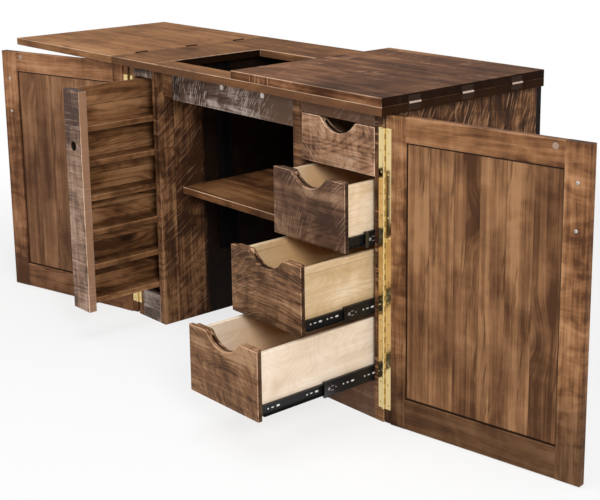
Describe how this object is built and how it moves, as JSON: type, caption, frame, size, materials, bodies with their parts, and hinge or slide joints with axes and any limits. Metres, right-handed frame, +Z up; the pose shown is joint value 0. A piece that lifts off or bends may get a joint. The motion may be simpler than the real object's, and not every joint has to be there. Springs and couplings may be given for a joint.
{
  "type": "sewing desk",
  "caption": "Pedestal sewing desk with fold-over leaves, a cut-out top over a lifting platform, wide hinged doors, scooped drawers and a pull-out shelf rack.",
  "frame": {"origin": "middle of the bottom edge of the back panel, on the floor", "axes": "+X to the sitter's right, along the top; -Y towards the sitter; +Z up"},
  "size_m": [2.1183, 0.9044, 0.789],
  "materials": {
    "polished_brass": "polished, bright",
    "black_slide_steel": "black zinc, satin",
    "black_lift_steel": "black powder coat",
    "dark_bronze": "oil rubbed, dark",
    "bright_steel": "plain, bright",
    "pale_maple": "clear satin lacquer",
    "rough_sawn_brown_maple": "rough sawn, stained, satin",
    "dark_stained_maple": "dark stain, satin",
    "smooth_brown_maple": "smooth, stained, satin lacquer"
  },
  "bodies": {
    "case": {"top": "smooth_brown_maple", "left_side": "rough_sawn_brown_maple", "right_side": "rough_sawn_brown_maple", "left_divider": "rough_sawn_brown_maple", "right_divider": "rough_sawn_brown_maple", "top_rails": "rough_sawn_brown_maple", "bottom_rails": "smooth_brown_maple", "apron": "rough_sawn_brown_maple", "apron_end_block": "smooth_brown_maple", "drawer_rails": "smooth_brown_maple", "back_panel": "dark_stained_maple", "pedestal_floors": "smooth_brown_maple", "door_catches": "bright_steel", "drawer_slide_outers": "black_slide_steel", "rack_slide_outers": "black_slide_steel", "case_hinge_leaves": "polished_brass", "top_hinge_plates": "dark_bronze", "lift_guides": "black_lift_steel"},
    "left_leaf": {"left_leaf": "smooth_brown_maple", "left_leaf_hinges": "dark_bronze"},
    "right_leaf": {"right_leaf": "smooth_brown_maple", "right_leaf_hinges": "dark_bronze"},
    "left_pin": {"left_hinge_pin": "polished_brass"},
    "left_door": {"left_door_stiles": "smooth_brown_maple", "left_door_rails": "smooth_brown_maple", "left_door_panel": "smooth_brown_maple", "left_door_pull": "dark_bronze", "left_door_strike": "bright_steel", "left_door_hinge_leaf": "polished_brass"},
    "right_pin": {"right_hinge_pin": "polished_brass"},
    "right_door": {"right_door_stiles": "smooth_brown_maple", "right_door_rails": "smooth_brown_maple", "right_door_panel": "smooth_brown_maple", "right_door_pull": "dark_bronze", "right_door_strike": "bright_steel", "right_door_hinge_leaf": "polished_brass"},
    "drawer_1": {"drawer_1_front": "rough_sawn_brown_maple", "drawer_1_box": "pale_maple", "drawer_1_slide_inners": "black_slide_steel"},
    "drawer_1_runners": {"drawer_1_slide_middles": "black_slide_steel"},
    "drawer_2": {"drawer_2_front": "rough_sawn_brown_maple", "drawer_2_box": "pale_maple", "drawer_2_slide_inners": "black_slide_steel"},
    "drawer_2_runners": {"drawer_2_slide_middles": "black_slide_steel"},
    "drawer_3": {"drawer_3_front": "rough_sawn_brown_maple", "drawer_3_box": "pale_maple", "drawer_3_slide_inners": "black_slide_steel"},
    "drawer_3_runners": {"drawer_3_slide_middles": "black_slide_steel"},
    "drawer_4": {"drawer_4_front": "rough_sawn_brown_maple", "drawer_4_box": "pale_maple", "drawer_4_slide_inners": "black_slide_steel"},
    "drawer_4_runners": {"drawer_4_slide_middles": "black_slide_steel"},
    "rack": {"rack_front": "rough_sawn_brown_maple", "rack_back": "smooth_brown_maple", "rack_shelves": "smooth_brown_maple", "rack_slide_inners": "black_slide_steel"},
    "rack_runners": {"rack_slide_middles": "black_slide_steel"},
    "lift": {"lift_platform": "smooth_brown_maple", "lift_brackets": "black_lift_steel"}
  },
  "joints": [
    {"name": "left_leaf_fold", "type": "hinge", "parent": "case", "child": "left_leaf", "pos_m": [-0.5461, 0, 0.7682], "axis": [0, -1, 0], "range_deg": [-180, 0]},
    {"name": "right_leaf_fold", "type": "hinge", "parent": "case", "child": "right_leaf", "pos_m": [0.5461, 0, 0.7682], "axis": [0, 1, 0], "range_deg": [0, 180]},
    {"name": "left_pin_turn", "type": "hinge", "parent": "case", "child": "left_pin", "pos_m": [-0.5182, -0.5456, 0], "axis": [0, 0, -1], "range_deg": [-83, 0]},
    {"name": "left_door_turn", "type": "hinge", "parent": "left_pin", "child": "left_door", "pos_m": [-0.5182, -0.5456, 0], "axis": [0, 0, -1], "range_deg": [-83, 31]},
    {"name": "right_pin_turn", "type": "hinge", "parent": "case", "child": "right_pin", "pos_m": [0.5182, -0.5456, 0], "axis": [0, 0, 1], "range_deg": [-94.3, 0]},
    {"name": "right_door_turn", "type": "hinge", "parent": "right_pin", "child": "right_door", "pos_m": [0.5182, -0.5456, 0], "axis": [0, 0, 1], "range_deg": [-94.3, 8.4]},
    {"name": "drawer_1_slide", "type": "slide", "parent": "case", "child": "drawer_1", "axis": [0, -1, 0], "range_m": [0, 0.457]},
    {"name": "drawer_1_runner_slide", "type": "slide", "parent": "case", "child": "drawer_1_runners", "axis": [0, -1, 0], "range_m": [0, 0.2285]},
    {"name": "drawer_2_slide", "type": "slide", "parent": "case", "child": "drawer_2", "axis": [0, -1, 0], "range_m": [-0.092, 0.365]},
    {"name": "drawer_2_runner_slide", "type": "slide", "parent": "case", "child": "drawer_2_runners", "axis": [0, -1, 0], "range_m": [-0.046, 0.1825]},
    {"name": "drawer_3_slide", "type": "slide", "parent": "case", "child": "drawer_3", "axis": [0, -1, 0], "range_m": [-0.225, 0.232]},
    {"name": "drawer_3_runner_slide", "type": "slide", "parent": "case", "child": "drawer_3_runners", "axis": [0, -1, 0], "range_m": [-0.1125, 0.116]},
    {"name": "drawer_4_slide", "type": "slide", "parent": "case", "child": "drawer_4", "axis": [0, -1, 0], "range_m": [-0.353, 0.104]},
    {"name": "drawer_4_runner_slide", "type": "slide", "parent": "case", "child": "drawer_4_runners", "axis": [0, -1, 0], "range_m": [-0.1765, 0.052]},
    {"name": "rack_slide", "type": "slide", "parent": "case", "child": "rack", "axis": [0, -1, 0], "range_m": [-0.233, 0.224]},
    {"name": "rack_runner_slide", "type": "slide", "parent": "case", "child": "rack_runners", "axis": [0, -1, 0], "range_m": [-0.1165, 0.112]},
    {"name": "lift_rise", "type": "slide", "parent": "case", "child": "lift", "axis": [0, 0, 1], "range_m": [0, 0.343]}
  ],
  "couplings": [
    {"joint": "drawer_1_runner_slide", "follows": "drawer_1_slide", "ratio": 0.5},
    {"joint": "drawer_2_runner_slide", "follows": "drawer_2_slide", "ratio": 0.5},
    {"joint": "drawer_3_runner_slide", "follows": "drawer_3_slide", "ratio": 0.5},
    {"joint": "drawer_4_runner_slide", "follows": "drawer_4_slide", "ratio": 0.5},
    {"joint": "rack_runner_slide", "follows": "rack_slide", "ratio": 0.5}
  ]
}
